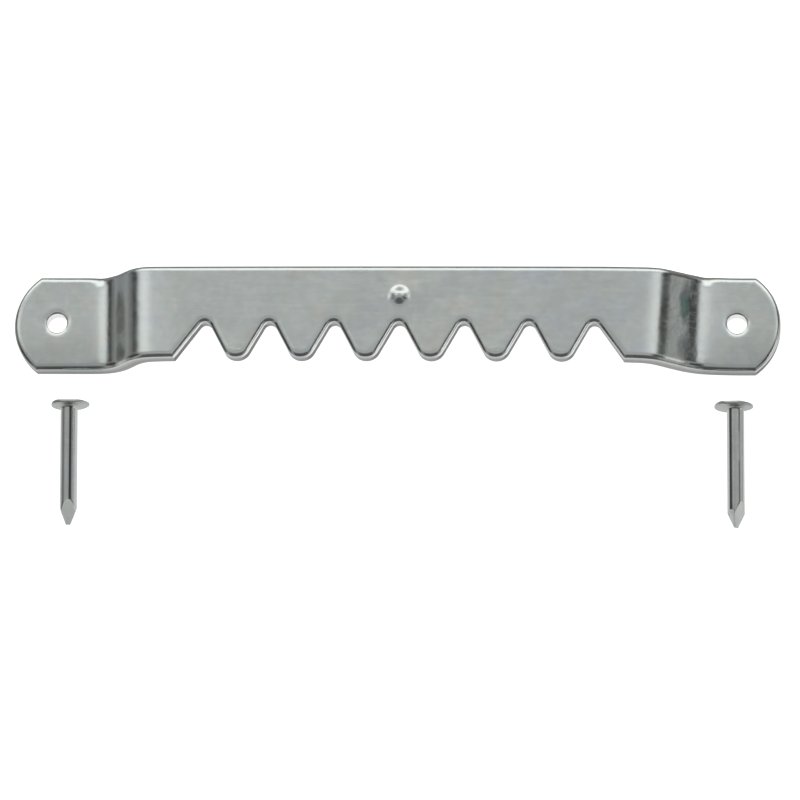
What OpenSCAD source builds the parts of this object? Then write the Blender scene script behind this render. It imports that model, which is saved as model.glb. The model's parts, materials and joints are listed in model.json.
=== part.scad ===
// Sawtooth picture hanger: one stamped steel strip and the two nails that fix it.
// It lies face up. X runs along the strip, Y across it with the teeth towards -Y,
// Z out of its face. The origin is midway between the nail holes, on the back of the feet.

/* [Strip] */
// Overall length of the strip
strip_l = 76.2; // [74:0.1:90]
// Width of the strip
strip_w = 9.7; // [8.7:0.1:11]
// Thickness of the sheet
sheet_t = 1.5; // [1:0.1:1.8]

/* [Feet] */
// How far each foot's round end bows out past its corners
foot_bow = 2.45; // [1.5:0.05:3.5]
// Clearance of the nail holes around a nail's shank, on the diameter
nail_clearance = 0.3; // [0.1:0.05:0.8]
// Distance from a foot's end to the centre of its nail hole
hole_inset = 4.3; // [3.6:0.05:5]

/* [Raised middle] */
// Height of the middle's back above the back of the feet
raise_h = 3.5; // [2.6:0.1:4.6]
// Length of the flat middle between its bends
middle_l = 48.6; // [46.5:0.1:51]
// Steepness of the risers, in degrees
riser_angle = 45; // [36:1:55]
// Inside radius of the four bends
bend_r = 2; // [1.5:0.1:2.4]
// How far the raised middle sits towards +X of the nail holes' midpoint
middle_shift = 0.7; // [0:0.1:1.5]

/* [Teeth] */
// Number of notches, an odd number so that one is central
notch_count = 7; // [3:2:7]
// Distance from one notch to the next
notch_pitch = 6.4; // [6:0.1:6.6]
// Depth of the notches
notch_depth = 3.75; // [3:0.05:4.2]
// Radius at the top of each notch, where the hook or nail sits
notch_r = 0.65; // [0.5:0.05:0.8]
// Radius at the tip of each tooth
tip_r = 1.4; // [1:0.05:1.5]
// Steepness of the ramp at each end of the row, in degrees
ramp_angle = 55; // [50:1:62]

/* [Pip] */
// Diameter of the pressed pip
pip_d = 2.1; // [1.5:0.1:2.6]
// Height of the pip above the face
pip_h = 0.5; // [0.3:0.05:0.7]
// How far the pip's centre sits above the strip's centre line
pip_rise = 1.6; // [1.2:0.05:2.4]

/* [Nails] */
// Overall length of a nail
nail_l = 12.3; // [11:0.1:18]
// Diameter of the shank
shank_d = 1.7; // [1.2:0.05:1.9]
// Diameter of the head
head_d = 3.8; // [3.2:0.1:4.6]
// Thickness of the head
head_t = 0.35; // [0.3:0.05:0.6]
// How far a head sits off its shank's centre
head_offset = 0.18; // [0:0.02:0.3]
// Size of the fillet between head and shank
neck_r = 0.3; // [0.1:0.05:0.5]
// Length of the two long facets of the point
long_facet_l = 2.4; // [1.9:0.1:3]
// Length of the two short facets of the point
short_facet_l = 1.7; // [1.2:0.1:1.8]
// Width of the blunt tip
blunt_w = 0.2; // [0.1:0.05:0.3]

/* [Nails laid out] */
// Space between the strip's edge and the nail heads
nail_gap = 3.75; // [2:0.05:8]
// Distance of the left nail towards +X of its hole
left_nail_shift = 1.9; // [0:0.05:2.5]
// Distance of the right nail towards +X of its hole
right_nail_shift = 0.05; // [0:0.05:2.5]
// Swing of the left nail's point towards +X, in degrees
left_nail_swing = 1.7; // [0:0.1:5]
// Swing of the right nail's point towards +X, in degrees
right_nail_swing = 0.7; // [0:0.1:5]
// Turn of the left nail about its own shank, in degrees
left_nail_roll = 8; // [0:1:45]
// Turn of the right nail about its own shank, in degrees
right_nail_roll = 45; // [0:1:45]

/* [Hidden] */
$fn = 96;
// How far a cut runs past the metal that it cuts
overrun = 1;

half_w = strip_w / 2;
foot_r = (half_w * half_w + foot_bow * foot_bow) / (2 * foot_bow);
hole_x = strip_l / 2 - hole_inset;
hole_d = shank_d + nail_clearance;

// Bends and risers, seen from the side
bend_span = 2 * bend_r + sheet_t;
riser_l = (raise_h - bend_span * (1 - cos(riser_angle))) / sin(riser_angle);
top_bend_x = middle_l / 2;
foot_bend_x = top_bend_x + bend_span * sin(riser_angle) + riser_l * cos(riser_angle);

// Teeth: half the pitch is two fillets and one flank, which fixes the flank's slope
fillets = notch_r + tip_r;
flank_root = sqrt(notch_pitch * notch_pitch - 4 * notch_depth * (2 * fillets - notch_depth));
flank_angle = 2 * atan(2 * notch_depth / (notch_pitch + flank_root));
notch_y = notch_depth - half_w;
tip_trim = tip_r * (1 - cos(flank_angle));
last_notch_x = (notch_count - 1) / 2 * notch_pitch;

pip_r = (pip_d * pip_d / 4 + pip_h * pip_h) / (2 * pip_h);

// A nail lies on the rim of its head and on its shank, where the lower facets begin
function facet_start(facet_l, share) = facet_l * (shank_d * share - blunt_w) / (shank_d - blunt_w);
function taper_l(roll) = max(facet_start(long_facet_l, cos(roll)), facet_start(short_facet_l, sin(roll)));
function tilt(roll) = atan((head_d - shank_d) / 2 / (nail_l - head_t - taper_l(roll)));
nail_y = -half_w - nail_gap;

// What lies outside a circle of radius r, from angle a to angle b, about its centre
module outside_arc(r, a, b) {
    reach = 2 * r;
    difference() {
        polygon([[0, 0], reach * [cos(a), sin(a)], reach * [cos(b), sin(b)]]);
        circle(r);
    }
}

// Everything under one face of the sheet, seen from the side. The face runs at height
// level on the feet and raise_h higher on the middle, with a round bend at each turn.
module below_face(level, convex_r, concave_r, base_z) {
    top = level + raise_h;
    convex_x = top_bend_x + convex_r * tan(riser_angle / 2);
    concave_x = foot_bend_x - concave_r * tan(riser_angle / 2);
    difference() {
        polygon([
            [-top_bend_x / 2, base_z],
            [-top_bend_x / 2, top],
            [convex_x, top],
            [concave_x, level],
            [strip_l, level],
            [strip_l, base_z]
        ]);
        translate([top_bend_x, top - convex_r])
            outside_arc(convex_r, 90 - riser_angle, 90);
    }
    translate([foot_bend_x, level + concave_r])
        outside_arc(concave_r, 270 - riser_angle, 270);
}

// The sheet seen from the side: what is under its front face and not under its back
module side_profile() {
    outer_r = bend_r + sheet_t;
    difference() {
        for (side = [0, 1])
            mirror([side, 0])
                below_face(sheet_t, outer_r, bend_r, -overrun);
        for (side = [0, 1])
            mirror([side, 0])
                below_face(0, bend_r, outer_r, -2 * outer_r);
    }
}

// One V notch about its own centre line, each side with its own slope
module notch(left_angle, right_angle) {
    fillet_y = notch_y - notch_r;
    drop = fillet_y + half_w + overrun;
    left = notch_r * [-sin(left_angle), cos(left_angle)];
    right = notch_r * [sin(right_angle), cos(right_angle)];
    translate([0, fillet_y]) {
        circle(notch_r);
        polygon([
            left,
            right,
            right + (drop + right[1]) * [1 / tan(right_angle), -1],
            left + (drop + left[1]) * [-1 / tan(left_angle), -1]
        ]);
    }
}

// All the notches, with the ramps at both ends of the row
module notch_row() {
    for (i = [0 : notch_count - 1])
        translate([i * notch_pitch - last_notch_x, 0])
            notch(i == 0 ? ramp_angle : flank_angle,
                  i == notch_count - 1 ? ramp_angle : flank_angle);
    // Clears the corners of the teeth, whose round tips are added again
    translate([-last_notch_x, -half_w - overrun])
        square([2 * last_notch_x, overrun + tip_trim]);
}

// Flat blank with its round ends, before the notches are cut
module blank() {
    intersection() {
        square([strip_l, strip_w], center = true);
        union() {
            square([strip_l - 2 * foot_bow, strip_w], center = true);
            for (side = [-1, 1])
                translate([side * (strip_l / 2 - foot_r), 0])
                    circle(foot_r);
        }
    }
}

// Outline of the whole strip, seen from the front
module strip_outline() {
    difference() {
        blank();
        translate([middle_shift, 0])
            notch_row();
    }
    for (i = [1 : notch_count - 1])
        translate([(i - 0.5) * notch_pitch - last_notch_x + middle_shift, tip_r - half_w])
            circle(tip_r);
}

// Ball whose top stands pip_h above the plane at height z, over the pip's centre
module pip_ball(z) {
    translate([middle_shift, pip_rise, z + pip_h - pip_r])
        sphere(pip_r);
}

module hanger_strip() {
    top_z = raise_h + sheet_t;
    color("silver")
        difference() {
            union() {
                intersection() {
                    translate([0, 0, -overrun])
                        linear_extrude(top_z + 2 * overrun)
                            strip_outline();
                    translate([middle_shift, 0, 0])
                        rotate([90, 0, 0])
                            linear_extrude(strip_w + 2 * overrun, center = true)
                                side_profile();
                }
                intersection() {
                    pip_ball(top_z);
                    translate([middle_shift, pip_rise, raise_h + pip_h])
                        cylinder(d = 2 * pip_d, h = sheet_t);
                }
            }
            pip_ball(raise_h);
            for (side = [-1, 1])
                translate([side * hole_x, 0, -overrun])
                    cylinder(d = hole_d, h = top_z + 2 * overrun);
        }
}

// Wedge whose two faces meet the blunt tip, pointing along -Z from the tip at z = 0
module point_wedge(facet_l) {
    slope = (shank_d - blunt_w) / 2 / facet_l;
    wide = blunt_w / 2 + nail_l * slope;
    rotate([90, 0, 0])
        linear_extrude(2 * head_d, center = true)
            polygon([[-blunt_w / 2, 0], [blunt_w / 2, 0], [wide, nail_l], [-wide, nail_l]]);
}

// A nail with its head's outer face at the origin and its point towards -Z
module nail(roll, offset_x) {
    shank_l = nail_l - head_t;
    translate([offset_x, 0, -head_t])
        cylinder(d = head_d, h = head_t);
    translate([0, 0, -head_t])
        rotate([180, 0, 0])
            rotate_extrude()
                difference() {
                    square([shank_d / 2 + neck_r, neck_r]);
                    translate([shank_d / 2 + neck_r, neck_r])
                        circle(neck_r);
                }
    rotate([0, 0, roll])
        translate([0, 0, -nail_l])
            intersection() {
                cylinder(d = shank_d, h = shank_l);
                point_wedge(short_facet_l);
                rotate([0, 0, 90])
                    point_wedge(long_facet_l);
            }
}

// Lays a nail down with its head towards the strip
module lay_nail(x, roll, swing) {
    rim_z = head_d / 2 * cos(tilt(roll)) + head_t * sin(tilt(roll));
    translate([x, nail_y, rim_z])
        rotate([tilt(roll) - 90, 0, swing])
            children();
}

module nail_left() {
    color("lightgray")
        lay_nail(left_nail_shift - hole_x, left_nail_roll, left_nail_swing)
            nail(left_nail_roll, head_offset);
}

module nail_right() {
    color("lightgray")
        lay_nail(hole_x + right_nail_shift, right_nail_roll, right_nail_swing)
            nail(right_nail_roll, -head_offset);
}

hanger_strip();
nail_left();
nail_right();
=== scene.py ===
import json
import math
import bmesh
import bpy
from mathutils import Matrix, Vector


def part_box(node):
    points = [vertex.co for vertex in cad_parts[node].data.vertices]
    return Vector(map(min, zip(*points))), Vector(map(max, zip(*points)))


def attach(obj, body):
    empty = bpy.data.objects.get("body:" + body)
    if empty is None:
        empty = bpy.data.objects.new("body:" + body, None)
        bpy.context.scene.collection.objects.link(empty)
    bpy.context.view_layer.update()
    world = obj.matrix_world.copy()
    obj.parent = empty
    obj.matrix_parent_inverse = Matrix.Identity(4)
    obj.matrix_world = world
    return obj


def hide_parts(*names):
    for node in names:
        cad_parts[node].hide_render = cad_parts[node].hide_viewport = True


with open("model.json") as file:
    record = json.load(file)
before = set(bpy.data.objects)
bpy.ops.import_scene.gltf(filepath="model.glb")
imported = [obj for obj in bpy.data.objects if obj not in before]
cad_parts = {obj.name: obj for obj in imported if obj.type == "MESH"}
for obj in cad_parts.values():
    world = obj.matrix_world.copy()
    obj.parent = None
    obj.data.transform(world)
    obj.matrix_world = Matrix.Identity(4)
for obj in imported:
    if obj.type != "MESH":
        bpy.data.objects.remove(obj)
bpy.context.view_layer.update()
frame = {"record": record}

mm = 0.001
hair = 1e-4  # Slack in mm for comparing heights and merging points
mounts = {mount["name"]: mount for mount in frame["record"]["mounts"]}
print("frame loaded")


# Camera: a long lens, a little below and to the right of straight above the strip's face
photoView = {
    "lens": 211.0, "distance": 0.4632, "aim": (0.64, -7.53, 0.0),
    "forward": 19.4, "sideways": 5.0, "roll": 0.15, "clip": (0.01, 20),
}


def makeCamera():
    forward, sideways, roll = (math.radians(photoView[name]) for name in ("forward", "sideways", "roll"))
    upright = math.cos(sideways)
    back = Vector((math.sin(sideways), -math.sin(forward) * upright, math.cos(forward) * upright))
    right = (Vector((1, 0, 0)) - back * back.x).normalized()
    right = Matrix.Rotation(roll, 3, back) @ right
    up = back.cross(right)
    camera = bpy.data.objects.new("photoCamera", bpy.data.cameras.new("photoCamera"))
    camera.data.lens = photoView["lens"]
    camera.data.clip_start, camera.data.clip_end = photoView["clip"]
    place = Matrix((right, up, back)).transposed().to_4x4()
    place.translation = Vector(photoView["aim"]) * mm + back * photoView["distance"]
    camera.matrix_world = place
    bpy.context.scene.collection.objects.link(camera)
    bpy.context.scene.camera = camera


makeCamera()
bpy.context.scene.view_settings.view_transform = "Standard"
print("camera placed")


# Node helpers
def feed(tree, socket, value):
    if isinstance(value, bpy.types.NodeSocket):
        tree.links.new(value, socket)
    else:
        socket.default_value = value


def addNode(tree, kind, inputs=None, **settings):
    node = tree.nodes.new(kind)
    for name, value in settings.items():
        setattr(node, name, value)
    for name, value in (inputs or {}).items():
        feed(tree, node.inputs[name], value)
    return node


def maths(tree, operation, *values):
    return addNode(tree, "ShaderNodeMath", dict(enumerate(values)), operation=operation).outputs[0]


def total(tree, first, *others):
    for value in others:
        first = maths(tree, "ADD", first, value)
    return first


def product(tree, first, *others):
    for value in others:
        first = maths(tree, "MULTIPLY", first, value)
    return first


def swing(tree, value, amount):
    # A noise's swing about its middle
    return maths(tree, "MULTIPLY", maths(tree, "SUBTRACT", value, 0.5), amount)


def darken(tree, shade, mask, amount):
    return maths(tree, "MULTIPLY", shade, maths(tree, "SUBTRACT", 1.0, maths(tree, "MULTIPLY", mask, amount)))


def spread(tree, value, low, high, toLow=0.0, toHigh=1.0, kind="SMOOTHSTEP"):
    inputs = {"Value": value, "From Min": low, "From Max": high, "To Min": toLow, "To Max": toHigh}
    return addNode(tree, "ShaderNodeMapRange", inputs, interpolation_type=kind).outputs["Result"]


def limit(tree, value, gone, full):
    # 0 at gone and 1 at full, whichever of them is higher
    if gone < full:
        return spread(tree, value, gone, full)
    return spread(tree, value, full, gone, 1.0, 0.0)


def blend(tree, share, first, second):
    return addNode(tree, "ShaderNodeMix", {"Factor": share, "A": first, "B": second}).outputs[0]


def mixColours(tree, share, first, second, kind="MIX"):
    inputs = {0: share, 6: first, 7: second}
    return addNode(tree, "ShaderNodeMix", inputs, data_type="RGBA", blend_type=kind).outputs[2]


def scaleColour(tree, colour, shade):
    return addNode(tree, "ShaderNodeVectorMath", {0: colour, "Scale": shade}, operation="SCALE").outputs[0]


def stretch(tree, place, amount):
    return addNode(tree, "ShaderNodeMapping", {"Vector": place, "Scale": amount}).outputs[0]


def noise(tree, place, scale, detail=2.0, rough=0.5):
    inputs = {"Vector": place, "Scale": scale, "Detail": detail, "Roughness": rough}
    return addNode(tree, "ShaderNodeTexNoise", inputs).outputs["Fac"]


def ramp(tree, value, stops):
    node = addNode(tree, "ShaderNodeValToRGB", {"Fac": value})
    elements = node.color_ramp.elements
    while len(elements) < len(stops):
        elements.new(0.5)
    for element, (position, colour) in zip(elements, stops):
        element.position = position
        element.color = (*colour, 1)
    return node.outputs["Color"]


# Strip: a flat blank of sheet steel with rolled edges, bent over the same joggles as the CAD strip
strip = {
    "sheet": 1.5, "rise": 3.5, "middleShift": 0.7, "middleBow": 0.1, "footBow": 2.45, "endSteps": 44,
    "notches": 7, "pitch": 6.4, "notchDepth": 3.75, "notchRadius": 0.65, "notchSteps": 14,
    "tipRadius": 1.4, "tipSteps": 16, "rampAngle": 55.0,
    "fracture": 0.72, "fractureTaper": 0.01, "burr": 0.02, "rim": 0.05,  # The cut broke off this far up
    "cutSkew": 0.05, "skewAbove": 0.3, "skewWithin": 24, "cutSlope": 0.6,  # The cut leans between the teeth
    "holeSteps": 60, "holeRoll": 0.4, "rollReach": 2.6,  # The share of the roll that the nail holes keep
    "breakout": 0.1, "breakoutReach": 1.6,
    "pipRadius": 1.25, "pipHeight": 0.4, "pipRise": 1.6, "pipSides": 48, "pipSteps": 9,
    "bendStep": 0.12, "flatStep": 3.5, "flatCuts": 5, "dipStep": 0.2, "dipCuts": 5,  # Cuts through the blank
    "dip": 0.18, "frontDip": 0.06, "dipReach": 0.8, "dipStart": 3.55, "dipWidth": 1.2,
    "sharpAngle": 38,
}
# The rolled edge from the cut to the face: slope angles, and the radius between each two
rollSlopes = (90, 78, 66, 54, 42, 30, 22, 16, 11, 7, 3, 0)
rollRadii = (0.32, 0.32, 0.36, 0.42, 0.5, 0.62, 0.75, 0.9, 1.1, 1.3, 1.8)
# The two joggles were pressed a little differently
joggles = {
    -1: {
        "start": 24.68, "angle": 48.5, "radius": 2.75, "crest": 0.55, "foot": 0.75,
        "tail": 7.0, "tailLength": 2.9, "topSkew": -0.05, "footSkew": -0.05, "dipBefore": 0.5,
    },
    1: {
        "start": 24.12, "angle": 35.0, "radius": 3.1, "crest": 0.55, "foot": 1.0,
        "tail": 9.5, "tailLength": 5.0, "topSkew": 0.045, "footSkew": 0.035, "dipBefore": 1.1,
    },
}
# What both have in common: the soft tail, the lead up to the crest, the skew and the wider feet
bending = {
    "step": 0.02, "overrun": 2, "riserLimits": (0.5, 5.0), "halvings": 30,
    "tailStart": 0.6, "leadLength": 1.3, "leadShare": 0.4,
    "skewFull": 20, "skewTurn": 26, "skewTurnLength": 4,
    "footSpread": 0.022, "spreadStart": 22, "spreadLength": 9,
}
lowCorner, highCorner = (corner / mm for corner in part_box("hanger_strip"))
halfWidth = (highCorner.y - lowCorner.y) / 2
halfLength = (highCorner.x - lowCorner.x) / 2
notchY = strip["notchDepth"] - halfWidth


def smooth(share):
    share = min(max(share, 0.0), 1.0)
    return share * share * (3 - 2 * share)


def sideOf(x):
    return math.copysign(1, x)


# Half of the sheet from the side: its middle line as (distance along, x, z, tilt), and where it bends
def traceJoggle(side):
    shape = joggles[side]
    turn, tailTurn = math.radians(shape["angle"]), math.radians(shape["tail"])
    topStart, tailLength, crest, foot = (shape[name] for name in ("start", "tailLength", "crest", "foot"))
    bendLength = shape["radius"] * turn
    bowTilt = 4 * strip["middleBow"] / (2 * topStart)
    step = bending["step"]

    def tiltAt(along, riser):
        footStart = topStart + bendLength + riser
        down = smooth((along - topStart + crest) / (bendLength + 2 * crest))
        flat = smooth((along - footStart + foot) / (bendLength + 2 * foot))
        beyond = (along - footStart - bendLength * bending["tailStart"]) / tailLength
        tail = tailTurn * flat * (1 - smooth(beyond))
        before = (topStart - along) / tailLength / bending["leadLength"]
        lead = tailTurn * bending["leadShare"] * (1 - smooth(before)) * (1 - down)
        return turn * (down - flat) + tail + lead + bowTilt * min(along / topStart, 1) * (1 - down)

    def trace(riser):
        end = halfLength + strip["middleShift"] + bending["overrun"]
        x, drop, line = 0.0, 0.0, []
        for count in range(int(end / step)):
            tilt = tiltAt((count + 0.5) * step, riser)
            line.append((count * step, x, drop, tiltAt(count * step, riser)))
            x += step * math.cos(tilt)
            drop += step * math.sin(tilt)
        return line, drop

    # The riser is as long as the rise needs, which halving the limits finds
    short, long = bending["riserLimits"]
    for _ in range(bending["halvings"]):
        riser = (short + long) / 2
        line, drop = trace(riser)
        if drop < strip["rise"] + strip["middleBow"]:
            short = riser
        else:
            long = riser
    lift = drop + strip["sheet"] / 2
    footEnd = topStart + 2 * bendLength + riser + foot
    return {
        "line": [(along, x, lift - fall, tilt) for along, x, fall, tilt in line],
        "bends": (
            (topStart - crest, topStart + bendLength + crest),
            (topStart + bendLength + riser - foot, footEnd),
        ),
        "tails": (
            (topStart - tailLength * bending["leadLength"], topStart - crest),
            (footEnd, footEnd + tailLength),
        ),
        "footEnd": footEnd,
    }


traces = {side: traceJoggle(side) for side in joggles}


def alongAt(x):
    side, reach = sideOf(x - strip["middleShift"]), abs(x - strip["middleShift"])
    line = traces[side]["line"]
    for near, far in zip(line, line[1:]):
        if far[1] >= reach:
            return side * (near[0] + (reach - near[1]) / (far[1] - near[1]) * (far[0] - near[0]))
    return side * (line[-1][0] + reach - line[-1][1])


def bent(point):
    side, reach = sideOf(point.x), abs(point.x)
    shape, line = joggles[side], traces[side]["line"]
    # A joggle's two bends lie askew across the strip, each by its own amount
    footShare = smooth((reach - bending["skewTurn"]) / bending["skewTurnLength"])
    lean = shape["topSkew"] + (shape["footSkew"] - shape["topSkew"]) * footShare
    askew = lean * point.y * smooth(reach / bending["skewFull"])
    place = (reach - side * askew) / (line[1][0] - line[0][0])
    first = min(int(place), len(line) - 2)
    near, far, share = line[first], line[first + 1], place - first
    x, z, tilt = (near[i] + (far[i] - near[i]) * share for i in (1, 2, 3))
    height = point.z - strip["sheet"] / 2
    x += height * math.sin(tilt) + side * askew
    # The press spread the feet a little wider than the middle
    wider = smooth((reach - bending["spreadStart"]) / bending["spreadLength"]) - 0.5
    y = point.y * (1 + bending["footSpread"] * wider)
    return Vector((side * x + strip["middleShift"], y, z + height * math.cos(tilt)))


def lineTo(bm, last, x, y):
    following = bm.verts.new((x, y, 0))
    bm.edges.new((last, following))
    return following


def arcTo(bm, last, centre, turn, steps):
    spun = bmesh.ops.spin(bm, geom=[last], cent=(*centre, 0), axis=(0, 0, 1), angle=turn, steps=steps)
    return next(item for item in spun["geom_last"] if isinstance(item, bmesh.types.BMVert))


def drawOutline(bm):
    # Half a pitch is two round stretches and one flank, which fixes the flank's slope
    pitch, depth = strip["pitch"], strip["notchDepth"]
    fillets = strip["notchRadius"] + strip["tipRadius"]
    root = math.sqrt(pitch * pitch - 4 * depth * (2 * fillets - depth))
    flank = 2 * math.atan(2 * depth / (pitch + root))
    rampTurn = math.radians(strip["rampAngle"])
    lastNotch = (strip["notches"] - 1) / 2 * pitch
    notchArcY = notchY - strip["notchRadius"]
    rampTop = Vector((-math.sin(rampTurn), math.cos(rampTurn))) * strip["notchRadius"]
    rampFoot = lastNotch - rampTop.x + (notchArcY + rampTop.y + halfWidth) / math.tan(rampTurn)

    leftCorner, rightCorner = (alongAt(side * (halfLength - strip["footBow"])) for side in (-1, 1))
    last = bm.verts.new((leftCorner, -halfWidth, 0))
    last = lineTo(bm, last, -rampFoot, -halfWidth)
    last = lineTo(bm, last, rampTop.x - lastNotch, notchArcY + rampTop.y)
    for count in range(strip["notches"]):
        x = count * pitch - lastNotch
        before = rampTurn if count == 0 else flank
        after = rampTurn if count == strip["notches"] - 1 else flank
        last = arcTo(bm, last, (x, notchArcY), -(before + after), strip["notchSteps"])
        if count < strip["notches"] - 1:
            tip = Vector((x + pitch / 2, strip["tipRadius"] - halfWidth))
            tangent = tip - Vector((math.sin(flank), math.cos(flank))) * strip["tipRadius"]
            last = lineTo(bm, last, *tangent)
            last = arcTo(bm, last, tip, 2 * flank, strip["tipSteps"])
            following = Vector((x + pitch, notchArcY))
            following += Vector((-math.sin(flank), math.cos(flank))) * strip["notchRadius"]
            last = lineTo(bm, last, *following)
    last = lineTo(bm, last, rampFoot, -halfWidth)
    footRadius = (halfWidth ** 2 + strip["footBow"] ** 2) / (2 * strip["footBow"])
    footTurn = 2 * math.asin(halfWidth / footRadius)
    last = lineTo(bm, last, rightCorner, -halfWidth)
    last = arcTo(bm, last, (rightCorner + strip["footBow"] - footRadius, 0), footTurn, strip["endSteps"])
    last = lineTo(bm, last, leftCorner, halfWidth)
    arcTo(bm, last, (leftCorner - strip["footBow"] + footRadius, 0), footTurn, strip["endSteps"])
    bmesh.ops.remove_doubles(bm, verts=bm.verts[:], dist=hair)


# The centre and radius of each nail hole in the flat blank
def nailHoles():
    holes = []
    for name in ("nail_hole_left", "nail_hole_right"):
        x, y = (mounts[name]["pos_m"][i] / mm for i in (0, 1))
        holes.append((Vector((alongAt(x), y)), mounts[name]["dims"]["r_mm"]))
    return holes


# The flat blank with its nail holes, and a face of its own for the pip, which is returned
def fillBlank(bm):
    drawOutline(bm)
    for centre, radius in nailHoles():
        bmesh.ops.create_circle(bm, segments=strip["holeSteps"], radius=radius,
                                matrix=Matrix.Translation((*centre, 0)))
    pip = bmesh.ops.create_circle(bm, segments=strip["pipSides"], radius=strip["pipRadius"],
                                  matrix=Matrix.Translation((0, strip["pipRise"], 0)))
    pipEdges = [edge for edge in bm.edges if edge.verts[0] in pip["verts"]]
    bmesh.ops.triangle_fill(bm, use_beauty=True, edges=bm.edges[:], normal=(0, 0, 1))
    pipFace = bmesh.ops.edgeloop_fill(bm, edges=pipEdges)["faces"][0]
    bmesh.ops.reverse_faces(bm, faces=[face for face in bm.faces if face.normal.z < 0])
    return pipFace


def inset(bm, faces, thickness, depth=0):
    bmesh.ops.inset_region(bm, faces=faces, use_boundary=True, use_even_offset=True,
                           thickness=thickness, depth=depth)


# The blank grows both ways from the line where the punched edge broke; returns the cut's height
def growSheet(bm):
    backFaces = bm.faces[:]
    whole = bm.verts[:] + bm.edges[:] + backFaces
    raised = bmesh.ops.extrude_face_region(bm, geom=whole, use_keep_orig=True)["geom"]
    frontFaces = [item for item in raised if isinstance(item, bmesh.types.BMFace)]
    roll = []
    for radius, steep, flat in zip(rollRadii, rollSlopes, rollSlopes[1:]):
        steep, flat = math.radians(steep), math.radians(flat)
        inward, rise = math.sin(steep) - math.sin(flat), math.cos(flat) - math.cos(steep)
        roll.append((radius * inward, radius * rise))
    cutHeight = strip["sheet"] - sum(rise for inward, rise in roll)
    bmesh.ops.translate(bm, verts=[item for item in raised if isinstance(item, bmesh.types.BMVert)],
                        vec=(0, 0, cutHeight - strip["fracture"]))
    for inward, rise in roll:
        inset(bm, frontFaces, inward, rise)
    inset(bm, frontFaces, strip["rim"])
    taper, burr = strip["fractureTaper"], strip["burr"]
    for thickness, depth in ((taper, strip["fracture"] - burr), (burr, burr), (burr, 0)):
        inset(bm, backFaces, thickness, depth)
    return cutHeight


# The pip is pressed up from behind
def pressPip(bm, backPip):
    frontPips = (face for face in bm.faces if len(face.verts) == strip["pipSides"] and face != backPip)
    frontPip = max(frontPips, key=lambda face: face.calc_area())
    for face in (frontPip, backPip):
        upward = math.copysign(1, face.normal.z)
        for count in range(strip["pipSteps"]):
            outer, inner = (1 - turn / (strip["pipSteps"] + 1) for turn in (count, count + 1))
            rise = math.cos(math.pi / 2 * inner) ** 2 - math.cos(math.pi / 2 * outer) ** 2
            inset(bm, [face], strip["pipRadius"] * (outer - inner), strip["pipHeight"] * rise * upward)
        bmesh.ops.poke(bm, faces=[face])


def cutAcross(bm, place, normal):
    bmesh.ops.bisect_plane(bm, geom=bm.verts[:] + bm.edges[:] + bm.faces[:], dist=hair / 10,
                           plane_co=place, plane_no=normal)


# Cuts across the blank let it bend, and cuts along its edges let them dip
def cutForBends(bm):
    cuts = [count * strip["flatStep"] for count in range(-strip["flatCuts"], strip["flatCuts"] + 1)]
    for side, shape in traces.items():
        for spans, step in ((shape["bends"], strip["bendStep"]), (shape["tails"], 2 * strip["bendStep"])):
            for low, high in spans:
                steps = round((high - low) / step)
                cuts += [side * (low + (high - low) * count / steps) for count in range(steps + 1)]
    for along in sorted(set(round(cut, 4) for cut in cuts)):
        cutAcross(bm, (along, 0, 0), (1, 0, 0))
    for count in range(strip["dipCuts"]):
        for side in (-1, 1):
            cutAcross(bm, (0, side * (strip["dipStart"] + count * strip["dipStep"]), 0), (0, 1, 0))
    bmesh.ops.recalc_face_normals(bm, faces=bm.faces)


# What pressing and punching did to the edges, while the blank is still flat
def wearEdges(bm, cutHeight):
    holes = [centre for centre, radius in nailHoles()]
    for vert in bm.verts:
        # Both edges dip next to the foot bends
        side, reach = sideOf(vert.co.x), abs(vert.co.x)
        away = reach - traces[side]["footEnd"] + joggles[side]["dipBefore"]
        near = math.exp(-(away / strip["dipReach"]) ** 2)
        if vert.co.z > cutHeight - strip["fracture"] - hair:
            depth = strip["dip"] if vert.co.y > 0 else strip["frontDip"]
            vert.co.z -= depth * near * smooth((abs(vert.co.y) - strip["dipStart"]) / strip["dipWidth"])
        # The cut leans a little along the teeth
        height = vert.co.z + strip["fracture"]
        amongTeeth = vert.co.y < notchY + strip["skewAbove"] and reach < strip["skewWithin"]
        if amongTeeth and height < cutHeight + hair:
            vert.co.x += strip["cutSkew"] * (1 - height / cutHeight)
        # The nail holes have a flatter roll, and broke out wider at the back
        for hole in holes:
            outward = vert.co.xy - hole
            if outward.length < strip["rollReach"] and height > cutHeight - hair:
                vert.co.z += (strip["sheet"] - height) * (1 - strip["holeRoll"])
            if outward.length < strip["breakoutReach"] and height < strip["fracture"] + hair:
                vert.co.xy += outward.normalized() * strip["breakout"] * (1 - height / strip["fracture"])


def makeStripMesh():
    bm = bmesh.new()
    pipFace = fillBlank(bm)
    cutHeight = growSheet(bm)
    pressPip(bm, pipFace)
    cutForBends(bm)
    wearEdges(bm, cutHeight)

    # The flat place of every point and the punched faces are kept for the material
    flatPlace = bm.verts.layers.float_vector.new("flatPlace")
    cutFace = bm.faces.layers.float.new("cutFace")
    for vert in bm.verts:
        vert.co.z += strip["fracture"]
        vert[flatPlace] = vert.co * mm
    for face in bm.faces:
        middle = face.calc_center_median().z
        face[cutFace] = 1.0 if abs(face.normal.z) < strip["cutSlope"] and middle < cutHeight else 0.0
    for vert in bm.verts:
        vert.co = bent(vert.co) * mm
    mesh = bpy.data.meshes.new("zincStrip")
    bm.to_mesh(mesh)
    bm.free()
    return mesh


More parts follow.
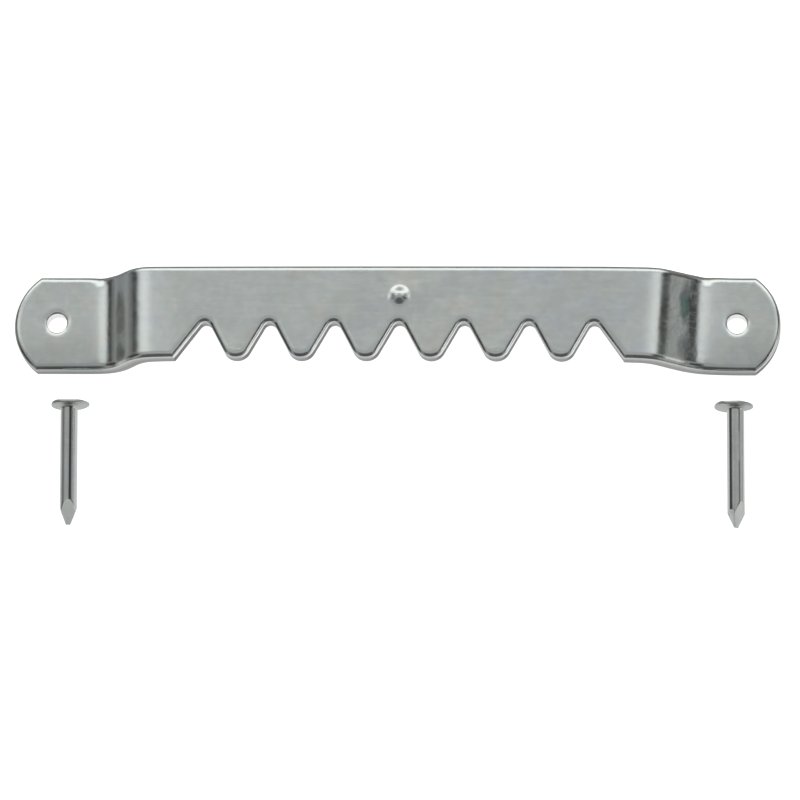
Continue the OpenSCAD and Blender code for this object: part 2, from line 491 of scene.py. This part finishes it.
def finishMesh(mesh, material, sharpAngle):
    for polygon in mesh.polygons:
        polygon.use_smooth = True
    mesh.set_sharp_from_angle(angle=math.radians(sharpAngle))
    mesh.materials.append(material)
    mesh.update()


# Materials: zinc plate over steel, one group for the plate's own marks
plateMarks = {
    "cloudScale": 260, "cloudRough": 0.14, "cloudHeight": 0.03,
    "mottleScale": 1100, "mottleShade": 0.10, "mottleRough": 0.16, "mottleHeight": 0.012,
    "grainScale": 9000, "grainHeight": 0.0011,
    "rolledScale": 700, "rolledShade": 0.07, "rolledStretch": (0.25, 4.0, 4.0),
    "scratchScale": 420, "scratchStretch": (1.0, 14.0, 14.0), "scratchLevel": 0.64, "scratchWidth": 0.006,
    "scratchShade": 0.06, "scratchDepth": 0.0012,
    "tintScale": 330,
    "tints": (
        (0.3, (0.93, 0.96, 1.04)), (0.45, (1.0, 1.0, 1.0)), (0.56, (0.98, 1.02, 0.99)), (0.66, (1.05, 1.0, 0.96)),
    ),
}


def makePlateGroup():
    tree = bpy.data.node_groups.new("zincPlate", "ShaderNodeTree")
    for name, kind in (("Place", "Vector"), ("Cloud", "Float"), ("Grain", "Float")):
        tree.interface.new_socket(name, in_out="INPUT", socket_type="NodeSocket" + kind)
    for name, kind in (("Shade", "Float"), ("Tint", "Color"), ("Rough", "Float"), ("Height", "Float")):
        tree.interface.new_socket(name, in_out="OUTPUT", socket_type="NodeSocket" + kind)
    inlet, outlet = addNode(tree, "NodeGroupInput"), addNode(tree, "NodeGroupOutput")
    place = inlet.outputs["Place"]

    cloud = noise(tree, place, plateMarks["cloudScale"], 3)
    mottle = noise(tree, place, plateMarks["mottleScale"], 2, 0.6)
    grain = noise(tree, place, plateMarks["grainScale"], 2, 0.6)
    rolled = noise(tree, stretch(tree, place, plateMarks["rolledStretch"]), plateMarks["rolledScale"], 3, 0.6)
    scratch = noise(tree, stretch(tree, place, plateMarks["scratchStretch"]), plateMarks["scratchScale"], 1)
    # A scratch runs where its noise passes one level
    scratch = maths(tree, "ABSOLUTE", maths(tree, "SUBTRACT", scratch, plateMarks["scratchLevel"]))
    scratch = maths(tree, "SUBTRACT", 1.0, spread(tree, scratch, 0.0, plateMarks["scratchWidth"]))
    shade = total(tree, swing(tree, cloud, inlet.outputs["Cloud"]),
                  swing(tree, mottle, plateMarks["mottleShade"]),
                  swing(tree, rolled, plateMarks["rolledShade"]),
                  maths(tree, "MULTIPLY", scratch, plateMarks["scratchShade"]), 1.0)
    rough = total(tree, swing(tree, mottle, plateMarks["mottleRough"]),
                  swing(tree, cloud, plateMarks["cloudRough"]))
    height = total(tree, maths(tree, "MULTIPLY", mottle, plateMarks["mottleHeight"]),
                   product(tree, grain, plateMarks["grainHeight"], inlet.outputs["Grain"]),
                   maths(tree, "MULTIPLY", cloud, plateMarks["cloudHeight"]),
                   maths(tree, "MULTIPLY", scratch, -plateMarks["scratchDepth"]))
    tint = ramp(tree, noise(tree, place, plateMarks["tintScale"]), plateMarks["tints"])
    for name, value in (("Shade", shade), ("Tint", tint), ("Rough", rough), ("Height", height)):
        feed(tree, outlet.inputs[name], value)
    return tree


plateGroup = makePlateGroup()


def newMaterial(name, metallic=1.0):
    material = bpy.data.materials.new(name)
    material.use_nodes = True
    tree = material.node_tree
    shader = tree.nodes["Principled BSDF"]
    shader.inputs["Metallic"].default_value = metallic
    return material, tree, shader


def plated(tree, attribute, look):
    place = addNode(tree, "ShaderNodeAttribute", attribute_name=attribute).outputs["Vector"]
    inputs = {"Place": place, "Cloud": look["cloud"], "Grain": look["grain"]}
    plate = addNode(tree, "ShaderNodeGroup", inputs, node_tree=plateGroup).outputs
    colour = mixColours(tree, look["tint"], look["colour"], plate["Tint"], "MULTIPLY")
    return place, plate, colour


def bump(tree, shader, height, strength):
    node = addNode(tree, "ShaderNodeBump", {"Height": height, "Distance": mm, "Strength": strength})
    feed(tree, shader.inputs["Normal"], node.outputs["Normal"])


# Lengths and limits are in mm, and a limit is where something is gone and where it is full
stripLook = {
    "colour": (0.60, 0.635, 0.62, 1), "roughness": 0.2, "tint": 0.6, "cloud": 0.12, "grain": 1.0, "bump": 1.0,
    # The cut's own sheared and broken bands, and the Right colours are painted highlight and painted shade for
    # cuts that face right
    "sheared": (0.42, 0.423, 0.42, 1), "shearedLitRight": (0.97, 0.98, 0.97, 1),
    "broken": (0.36, 0.362, 0.36, 1), "brokenShadedRight": (0.22, 0.222, 0.22, 1), "brokenRoughness": 0.42,
    "breakWidth": 0.08, "sooner": 0.15, "wander": 0.25, "wanderScale": 1500,
    "tornScale": 5000, "tornHeight": 0.02,
    # Painted light from the right: how far a normal must face right, and up to which slope uncut faces get it too
    "litFromRight": (0.15, 0.75), "litRightSlopeUpTo": (0.65, 0.35),
    "foot": (29, 32), "footShade": 0.2, "footShadeY": (0.5, -4.8),
    # A painted highlight on the nail holes' walls, and the limits of where it lies
    "holeWallHighlight": (0.97, 0.97, 0.97, 1), "holeFarEnd": (37.8, 37.5), "holeAcross": (1.8, 1.5),
    "onFace": (0.9, 1.1), "smearScale": 900, "smear": 1.6,
    "rubTints": ((0.0, (0.36, 0.48, 0.44)), (0.5, (0.33, 0.46, 0.42)), (1.0, (0.45, 0.42, 0.50))),
    "rubTintY": (0.3, 3.2),
}
# Two marks that the press rubbed on the face of the right riser
rubMarks = {
    "tinted": {"centre": (28.3, 1.7), "reach": (0.7, 2.2), "ends": (1.4, 0.1)},
    "dark": {"centre": (28.2, -3.1), "reach": (0.7, 1.5), "ends": (1.9, -0.4), "shade": 0.42},
}


def makeStripMaterial():
    material, tree, shader = newMaterial("stripZinc")
    place, plate, colour = plated(tree, "flatPlace", stripLook)
    cut = addNode(tree, "ShaderNodeAttribute", attribute_name="cutFace").outputs["Fac"]
    axes = addNode(tree, "ShaderNodeSeparateXYZ", {"Vector": place}).outputs

    def within(value, limits):
        gone, full = limits
        return limit(tree, value, gone * mm, full * mm)

    # Painted light from the right: cuts that face right get a painted highlight on the sheared band and painted
    # shade on a taller broken band
    normal = addNode(tree, "ShaderNodeNewGeometry").outputs["Normal"]
    towards = addNode(tree, "ShaderNodeSeparateXYZ", {"Vector": normal}).outputs
    litFromRight = limit(tree, towards["X"], *stripLook["litFromRight"])

    # Punched edges: a smooth sheared band under the face, a broken one behind it
    wander = swing(tree, noise(tree, place, stripLook["wanderScale"]), stripLook["wander"] * mm)
    line = total(tree, axes["Z"], wander, maths(tree, "MULTIPLY", litFromRight, -stripLook["sooner"] * mm))
    half = stripLook["breakWidth"] / 2
    broken = within(line, (strip["fracture"] + half, strip["fracture"] - half))
    broken = maths(tree, "MULTIPLY", broken, cut)
    # Painted highlight: steep faces that face right take the bright sheared cut colour too
    litRightSlope = maths(tree, "MULTIPLY", litFromRight, limit(tree, towards["Z"], *stripLook["litRightSlopeUpTo"]))
    cut = maths(tree, "MAXIMUM", cut, litRightSlope)
    sheared = mixColours(tree, litFromRight, stripLook["sheared"], stripLook["shearedLitRight"])
    torn = mixColours(tree, litFromRight, stripLook["broken"], stripLook["brokenShadedRight"])
    cutColour = mixColours(tree, broken, sheared, torn)

    # Painted highlight: the nail holes' walls are painted bright
    aside = maths(tree, "ABSOLUTE", axes["X"])
    across = maths(tree, "ABSOLUTE", axes["Y"])
    onFoot = within(aside, stripLook["foot"])
    nearHole = product(tree, onFoot, within(aside, stripLook["holeFarEnd"]),
                       within(across, stripLook["holeAcross"]))
    cutColour = mixColours(tree, nearHole, cutColour, stripLook["holeWallHighlight"])
    colour = mixColours(tree, cut, colour, cutColour)

    # Painted shade: both feet darken towards their front edge
    footShadeMask = maths(tree, "MULTIPLY", onFoot, within(axes["Y"], stripLook["footShadeY"]))
    shade = darken(tree, plate["Shade"], footShadeMask, stripLook["footShade"])

    smear = swing(tree, noise(tree, place, stripLook["smearScale"], 3), stripLook["smear"])
    onFace = within(axes["Z"], stripLook["onFace"])

    def rubbed(mark):
        middles = (alongAt(mark["centre"][0]), mark["centre"][1])
        terms = [smear]
        for axis, middle, reach in zip("XY", middles, mark["reach"]):
            away = maths(tree, "DIVIDE", maths(tree, "SUBTRACT", axes[axis], middle * mm), reach * mm)
            terms.append(maths(tree, "MULTIPLY", away, away))
        return maths(tree, "MULTIPLY", limit(tree, total(tree, *terms), *mark["ends"]), onFace)

    rubTintY = (limitY * mm for limitY in stripLook["rubTintY"])
    rubTint = ramp(tree, spread(tree, axes["Y"], *rubTintY), stripLook["rubTints"])
    tinted = mixColours(tree, 1.0, colour, rubTint, "MULTIPLY")
    colour = mixColours(tree, rubbed(rubMarks["tinted"]), colour, tinted)
    shade = darken(tree, shade, rubbed(rubMarks["dark"]), rubMarks["dark"]["shade"])
    feed(tree, shader.inputs["Base Color"], scaleColour(tree, colour, shade))

    rougher = maths(tree, "MULTIPLY", broken, stripLook["brokenRoughness"] - stripLook["roughness"])
    feed(tree, shader.inputs["Roughness"], total(tree, plate["Rough"], stripLook["roughness"], rougher))
    grit = product(tree, noise(tree, place, stripLook["tornScale"], 3), broken, stripLook["tornHeight"])
    bump(tree, shader, total(tree, plate["Height"], grit), stripLook["bump"])
    return material


stripPiece = bpy.data.objects.new("zinc_strip", makeStripMesh())
bpy.context.scene.collection.objects.link(stripPiece)
finishMesh(stripPiece.data, makeStripMaterial(), strip["sharpAngle"])
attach(stripPiece, "strip")
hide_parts("hanger_strip")
print("strip made", len(stripPiece.data.polygons), "faces")


# Nails: turned shank and thin hammered head, with a four-sided point
nail = {
    "length": 12.3, "shank": 1.7, "head": 3.8, "headThick": 0.35, "neck": 0.3, "rim": 0.1,
    "sides": 72, "roundSteps": 6, "firstRing": 0.1, "ringStep": 0.5, "rings": 19,
    "longFacet": 2.4, "shortFacet": 1.7, "longBlunt": 0.2, "shortBlunt": 0.45, "facetRound": 0.08,
    "ridgeAngle": 12, "tipShare": 0.4, "facetLean": 0.1, "struckFrom": 0.6, "sharpAngle": 30,
    "rimWaves": ((3, 40, 0.012), (7, 0, 0.008)), "faceWave": (2, 25, 0.03),
}
# A dent is its turn about the head, how far it pushes the rim in and up, and its width in degrees.
# A painted reflection streak is its turn from the top, half its width, how light it is, and its lower and upper
# end.
nails = {
    "left": {
        "roll": 8.0, "headOffset": 0.1, "nudge": -0.12,
        "dents": ((270, 0.05, 0.0, 18), (232, 0.03, 0.04, 12), (308, 0.02, 0.05, 14), (20, 0.01, 0.02, 30)),
        "reflectionStreaks": ((18.0, 9.0, 0.12, -12.0, 2.0),),
    },
    "right": {
        "roll": 45.0, "headOffset": -0.18, "nudge": -0.12,
        "dents": ((262, 0.04, 0.0, 14), (228, 0.03, 0.05, 12), (296, 0.03, 0.06, 14)),
        "reflectionStreaks": (
            (-34.5, 10.5, 0.3, -12.0, 2.0), (25.0, 5.0, 0.55, -12.0, -5.8), (25.0, 5.0, 0.6, -2.8, 2.0),
        ),
    },
}


# Half of the nail's outline, from the middle of its head to the end of the shank
def nailProfile(bm):
    shankR, headR, neck, thick = nail["shank"] / 2, nail["head"] / 2, nail["neck"], nail["headThick"]
    rim, steps = nail["rim"], nail["roundSteps"]
    points = [(0.0, 0.0), (headR * 0.5, 0.0), (headR - rim, 0.0)]
    for count in range(1, steps):
        turn = count / steps * math.pi
        points.append((headR - rim + rim * math.sin(turn), -thick / 2 * (1 - math.cos(turn))))
    points += [(headR - rim, -thick), ((headR + shankR + neck) / 2, -thick)]
    for count in range(steps + 1):
        turn = count / steps * math.pi / 2
        points.append((shankR + neck * (1 - math.sin(turn)), -thick - neck * (1 - math.cos(turn))))
    firstRing = -thick - neck - nail["firstRing"]
    points += [(shankR, firstRing - nail["ringStep"] * count) for count in range(nail["rings"])]
    points += [(shankR, -nail["length"]), (0.0, -nail["length"])]
    verts = [bm.verts.new((x, 0, z)) for x, z in points]
    for first, second in zip(verts, verts[1:]):
        bm.edges.new((first, second))


# One plane of the point, turned about the shank
def cutFacet(bm, facet, blunt, turn):
    slope = math.atan((nail["shank"] - blunt) / 2 / facet)
    outward = Vector((math.cos(slope), 0, -math.sin(slope)))
    edge = Vector((blunt / 2, 0, -nail["length"]))
    spinTurn = Matrix.Rotation(turn, 3, "Z")
    made = bmesh.ops.bisect_plane(bm, geom=bm.verts[:] + bm.edges[:] + bm.faces[:], dist=hair / 100,
                                  plane_co=spinTurn @ edge, plane_no=spinTurn @ outward, clear_outer=True)
    rim = [item for item in made["geom_cut"] if isinstance(item, bmesh.types.BMEdge)]
    bmesh.ops.edgeloop_fill(bm, edges=rim)


def wave(turn, count, start, height):
    return height * math.sin(math.radians(count * turn + start))


# The head is struck a little off centre, with a wavy rim and the marks of the gripping dies
def strikeHead(bm, side):
    inner = nail["shank"] / 2 + nail["neck"]
    start = inner * nail["struckFrom"]
    for vert in bm.verts:
        reach = math.hypot(vert.co.x, vert.co.y)
        if vert.co.z < -nail["headThick"] - hair or (reach < inner and vert.co.z < -nail["rim"]):
            continue
        outer = smooth((reach - start) / (nail["head"] / 2 - start))
        turn = math.degrees(math.atan2(vert.co.y, vert.co.x)) % 360
        wider = sum(wave(turn, *rimWave) for rimWave in nail["rimWaves"])
        for centre, inward, upward, width in nails[side]["dents"]:
            away = min(abs(turn - centre), 360 - abs(turn - centre))
            dent = math.exp(-(away / width) ** 2)
            wider -= inward * dent
            vert.co.z += upward * dent * outer
        vert.co.x *= 1 + wider * outer
        vert.co.y *= 1 + wider * outer
        vert.co.z += wave(turn, *nail["faceWave"]) * outer
        vert.co.x += nails[side]["headOffset"] * outer


def makeNailMesh(side):
    bm = bmesh.new()
    nailProfile(bm)
    bmesh.ops.spin(bm, geom=bm.verts[:] + bm.edges[:], cent=(0, 0, 0), axis=(0, 0, 1), angle=2 * math.pi,
                   steps=nail["sides"], use_merge=True)
    bmesh.ops.remove_doubles(bm, verts=bm.verts[:], dist=hair / 10)
    for kind, turns in (("short", (0, 180)), ("long", (90, 270))):
        for turn in turns:
            cutFacet(bm, nail[kind + "Facet"], nail[kind + "Blunt"], math.radians(nails[side]["roll"] + turn))
    bmesh.ops.recalc_face_normals(bm, faces=bm.faces)
    halfway = -nail["length"] / 2
    ridges = [edge for edge in bm.edges
              if edge.is_manifold and edge.calc_face_angle() > math.radians(nail["ridgeAngle"])
              and max(vert.co.z for vert in edge.verts) < halfway]
    bmesh.ops.bevel(bm, geom=ridges, offset=nail["facetRound"], segments=2, profile=0.5, affect="EDGES",
                    material=-1)
    strikeHead(bm, side)

    # The place of every point on its own nail and the faces of the point are kept for the material
    ownPlace = bm.verts.layers.float_vector.new("ownPlace")
    for vert in bm.verts:
        vert[ownPlace] = vert.co * mm
    pointFace = bm.faces.layers.float.new("pointFace")
    tipStart = nail["shortFacet"] * nail["tipShare"] - nail["length"]
    for face in bm.faces:
        middle = face.calc_center_median().z
        leans = face.normal.z < -nail["facetLean"]
        face[pointFace] = 1.0 if middle < tipStart or (leans and middle < halfway) else 0.0

    # The mount's axis runs down the shank from its neck, and its place is halfway along it
    mount = mounts[side + "_nail_shank"]
    down = Vector(mount["axis"]).normalized()
    fromHead = nail["headThick"] + nail["neck"] + mount["dims"]["length_mm"] / 2
    across = (Vector((1, 0, 0)) - down * down.x).normalized()
    beneath = (-down).cross(across)
    place = Matrix((across, beneath, -down)).transposed().to_4x4()
    place.translation = Vector(mount["pos_m"]) / mm - down * fromHead + across * nails[side]["nudge"]
    bmesh.ops.transform(bm, matrix=Matrix.Scale(mm, 4) @ place, verts=bm.verts)
    mesh = bpy.data.meshes.new("zincNail_" + side)
    bm.to_mesh(mesh)
    bm.free()
    return mesh


nailLook = {
    "colour": (0.60, 0.62, 0.605, 1), "roughness": 0.16, "tint": 0.5, "cloud": 0.1, "grain": 0.6, "bump": 0.8,
    "drawnScale": 6000, "drawnStretch": (1.0, 1.0, 0.03), "drawnShade": 0.12, "drawnHeight": 0.0015,
    "pointDarker": 0.05, "pointRoughness": 0.3, "pointDull": 0.5,
    # The head's underside: painted shade, extra roughness and where they end
    "headDarker": 0.16, "headRoughness": 0.25, "headEnd": (-0.75, -0.45),
    "streakTop": -0.5, "streakEdges": (1.5, 0.4), "streakFade": 0.3,
}


def makeNailMaterial(side):
    material, tree, shader = newMaterial("nailZinc_" + side)
    place, plate, colour = plated(tree, "ownPlace", nailLook)
    axes = addNode(tree, "ShaderNodeSeparateXYZ", {"Vector": place}).outputs
    point = addNode(tree, "ShaderNodeAttribute", attribute_name="pointFace").outputs["Fac"]

    # Drawing lines run down the wire
    drawn = noise(tree, stretch(tree, place, nailLook["drawnStretch"]), nailLook["drawnScale"])
    shade = total(tree, plate["Shade"], swing(tree, drawn, nailLook["drawnShade"]))

    # Painted reflections: dark streaks down the shank stand in for the dark bands it mirrors
    turn = maths(tree, "ARCTAN2", axes["X"], maths(tree, "MULTIPLY", axes["Y"], -1.0))
    turn = maths(tree, "DEGREES", turn)
    onShank = maths(tree, "LESS_THAN", axes["Z"], nailLook["streakTop"] * mm)
    bare = maths(tree, "MULTIPLY", onShank, maths(tree, "SUBTRACT", 1.0, point))
    fade = nailLook["streakFade"]
    for middle, half, share, low, high in nails[side]["reflectionStreaks"]:
        away = maths(tree, "ABSOLUTE", maths(tree, "SUBTRACT", turn, middle))
        dark = product(tree, limit(tree, away, *(half * edge for edge in nailLook["streakEdges"])), bare,
                       limit(tree, axes["Z"], (low - fade) * mm, (low + fade) * mm),
                       limit(tree, axes["Z"], (high + fade) * mm, (high - fade) * mm))
        shade = darken(tree, shade, dark, 1 - share)

    # The dies left the point duller, and painted shade darkens the underside of the head
    headUndersideShade = limit(tree, axes["Z"], *(end * mm for end in nailLook["headEnd"]))
    shade = darken(tree, shade, point, nailLook["pointDarker"])
    shade = darken(tree, shade, headUndersideShade, nailLook["headDarker"])
    feed(tree, shader.inputs["Base Color"], scaleColour(tree, colour, shade))
    rough = total(tree, plate["Rough"], nailLook["roughness"],
                  maths(tree, "MULTIPLY", point, nailLook["pointRoughness"]),
                  maths(tree, "MULTIPLY", headUndersideShade, nailLook["headRoughness"]))
    feed(tree, shader.inputs["Roughness"], rough)
    metal = maths(tree, "SUBTRACT", 1.0, maths(tree, "MULTIPLY", point, nailLook["pointDull"]))
    feed(tree, shader.inputs["Metallic"], metal)
    lines = maths(tree, "MULTIPLY", drawn, nailLook["drawnHeight"])
    bump(tree, shader, total(tree, plate["Height"], lines), nailLook["bump"])
    return material


for side in nails:
    piece = bpy.data.objects.new("zinc_nail_" + side, makeNailMesh(side))
    bpy.context.scene.collection.objects.link(piece)
    finishMesh(piece.data, makeNailMaterial(side), nail["sharpAngle"])
    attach(piece, side + "_nail")
    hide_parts("nail_" + side)
    print("nail made", side, len(piece.data.polygons), "faces")


# Floor: the metal mirrors it bright in front, grey behind and dark past both ends
floor = {
    "size": 6.0, "squares": 8, "drop": 0.00002, "colour": 0.5, "roughness": 0.9, "glow": 0.84,
    "front": 0.82, "frontEnd": 0.002, "behind": 0.28, "behindStart": 0.005,
    "aside": 0.40, "asideStart": 0.0375, "asideFull": 0.043,
}


def makeFloor():
    bm = bmesh.new()
    squares = floor["squares"]
    bmesh.ops.create_grid(bm, x_segments=squares, y_segments=squares, size=floor["size"] / 2)
    bmesh.ops.translate(bm, verts=bm.verts, vec=(0, 0, -floor["drop"]))
    mesh = bpy.data.meshes.new("paleFloor")
    bm.to_mesh(mesh)
    bm.free()
    material, tree, shader = newMaterial("paleFloor", 0.0)
    shader.inputs["Roughness"].default_value = floor["roughness"]
    shader.inputs["Specular IOR Level"].default_value = 0.0
    path = addNode(tree, "ShaderNodeLightPath").outputs
    place = addNode(tree, "ShaderNodeTexCoord").outputs["Object"]
    axes = addNode(tree, "ShaderNodeSeparateXYZ", {"Vector": place}).outputs
    aside = spread(tree, maths(tree, "ABSOLUTE", axes["X"]), floor["asideStart"], floor["asideFull"])
    near = spread(tree, axes["Y"], floor["frontEnd"], floor["behindStart"], floor["front"], floor["behind"])
    mirrored = blend(tree, aside, near, floor["aside"])
    glossy = path["Is Glossy Ray"]
    plain = maths(tree, "MULTIPLY", maths(tree, "SUBTRACT", 1.0, glossy), floor["colour"])
    colour = addNode(tree, "ShaderNodeCombineColor", {name: plain for name in ("Red", "Green", "Blue")})
    feed(tree, shader.inputs["Base Color"], colour.outputs[0])
    shader.inputs["Emission Color"].default_value = (1, 1, 1, 1)
    seen = maths(tree, "MULTIPLY", path["Is Camera Ray"], floor["glow"])
    feed(tree, shader.inputs["Emission Strength"], blend(tree, glossy, seen, mirrored))
    # Seen from below, the floor isn't there
    below = addNode(tree, "ShaderNodeNewGeometry").outputs["Backfacing"]
    clear = addNode(tree, "ShaderNodeBsdfTransparent").outputs[0]
    both = addNode(tree, "ShaderNodeMixShader", {"Fac": below, 1: shader.outputs[0], 2: clear})
    tree.links.new(both.outputs[0], tree.nodes["Material Output"].inputs["Surface"])
    mesh.materials.append(material)
    piece = bpy.data.objects.new("paleFloor", mesh)
    bpy.context.scene.collection.objects.link(piece)


# What the metal mirrors. The curves are grey levels along x from -1 to 1, for the strip and for the nails,
# and along y from 0 to 1 for what is behind. A limit is an axis, and where on it something is gone and full.
studio = {
    "ambient": 0.9,
    "strip": (
        (-1.0, 0.34), (-0.96, 0.30), (-0.93, 0.22), (-0.89, 0.07), (-0.84, 0.06), (-0.79, 0.30),
        (-0.72, 0.75), (-0.62, 1.05), (-0.50, 1.10), (-0.40, 1.02), (-0.28, 0.78), (-0.16, 0.60),
        (-0.05, 0.56), (0.10, 0.60), (0.25, 0.72), (0.40, 0.92), (0.55, 1.04), (0.62, 0.95),
        (0.67, 0.45), (0.71, 0.04), (0.84, 0.04), (0.865, 0.35), (0.89, 0.57), (1.0, 0.61),
    ),
    "nails": (
        (-1.0, 0.31), (-0.97, 0.28), (-0.93, 0.20), (-0.80, 0.38), (-0.60, 0.45), (-0.40, 0.42),
        (-0.16, 0.38), (0.07, 0.46), (0.30, 0.46), (0.53, 0.44), (0.72, 0.44), (0.88, 0.50),
        (0.98, 0.62), (1.0, 0.70),
    ),
    "nailLimits": (("Y", 0.24, 0.17),),
    "back": (
        (0.0, 0.58), (0.36, 0.58), (0.44, 0.60), (0.52, 0.78), (0.60, 1.42), (0.76, 1.50), (0.86, 1.1),
        (0.93, 0.6), (1.0, 0.25),
    ),
    "backLimits": (("Y", 0.36, 0.48), ("aside", 0.8, 0.5)),
}
# Plain patches that lie over the curves, in this order, each a grey level and its limits
patches = {
    "low": (0.55, (("Y", 0.22, -0.05), ("aside", 0.7, 0.45))),
    "lowRightEnd": (1.4, (("Y", 0.12, 0.0), ("X", 0.86, 0.93))),
    "lowRight": (0.05, (("Y", 0.12, 0.0), ("Y", -0.45, -0.3), ("X", 0.48, 0.58), ("X", 0.90, 0.84))),
    "lowLeft": (0.05, (("Y", 0.12, 0.0), ("Y", -0.45, -0.3), ("X", -0.68, -0.8))),
    "horizon": (0.15, (("Z", 0.32, 0.12), ("Y", 0.3, 0.5))),
    "front": (0.11, (("Y", -0.12, -0.45), ("aside", 0.7, 0.58))),
}


def makeWorld():
    world = bpy.data.worlds.new("studio")
    bpy.context.scene.world = world
    world.use_nodes = True
    tree = world.node_tree
    tree.nodes.clear()
    direction = addNode(tree, "ShaderNodeTexCoord").outputs["Generated"]
    separated = addNode(tree, "ShaderNodeSeparateXYZ", {"Vector": direction}).outputs
    axes = {name: separated[name] for name in "XYZ"}
    axes["aside"] = maths(tree, "ABSOLUTE", axes["X"])
    sideways = spread(tree, axes["X"], -1.0, 1.0, kind="LINEAR")

    def levels(name, along):
        # The curve node's own range is 0 to 1, so levels are halved on it
        curve = addNode(tree, "ShaderNodeFloatCurve", {"Value": along})
        points = curve.mapping.curves[0].points
        while len(points) < len(studio[name]):
            points.new(0.5, 0.5)
        for point, (x, level) in zip(points, studio[name]):
            point.location = (x if name == "back" else (x + 1) / 2, level / 2)
            point.handle_type = "AUTO_CLAMPED"
        curve.mapping.update()
        return maths(tree, "MULTIPLY", curve.outputs[0], 2.0)

    def mask(limits):
        return product(tree, *(limit(tree, axes[axis], gone, full) for axis, gone, full in limits))

    level = blend(tree, mask(studio["nailLimits"]), levels("strip", sideways), levels("nails", sideways))
    level = blend(tree, mask(studio["backLimits"]), level, levels("back", axes["Y"]))
    for patch, limits in patches.values():
        level = blend(tree, mask(limits), level, patch)

    path = addNode(tree, "ShaderNodeLightPath").outputs
    level = blend(tree, path["Is Glossy Ray"], studio["ambient"], level)
    level = blend(tree, path["Is Camera Ray"], level, 1.0)
    background = addNode(tree, "ShaderNodeBackground", {"Color": (1, 1, 1, 1), "Strength": level})
    outlet = addNode(tree, "ShaderNodeOutputWorld")
    tree.links.new(background.outputs[0], outlet.inputs["Surface"])


lamp = {"place": (-0.15, 0.25, 0.9), "size": 0.5, "watts": 2.2}


def makeLamp():
    data = bpy.data.lights.new("overhead", "AREA")
    data.shape, data.size, data.energy = "DISK", lamp["size"], lamp["watts"]
    piece = bpy.data.objects.new("overhead", data)
    piece.location = lamp["place"]
    piece.rotation_euler = Vector(lamp["place"]).to_track_quat("Z", "Y").to_euler()
    piece.visible_glossy = False
    bpy.context.scene.collection.objects.link(piece)


makeFloor()
makeWorld()
makeLamp()
print("floor and light made")

bpy.context.view_layer.update()
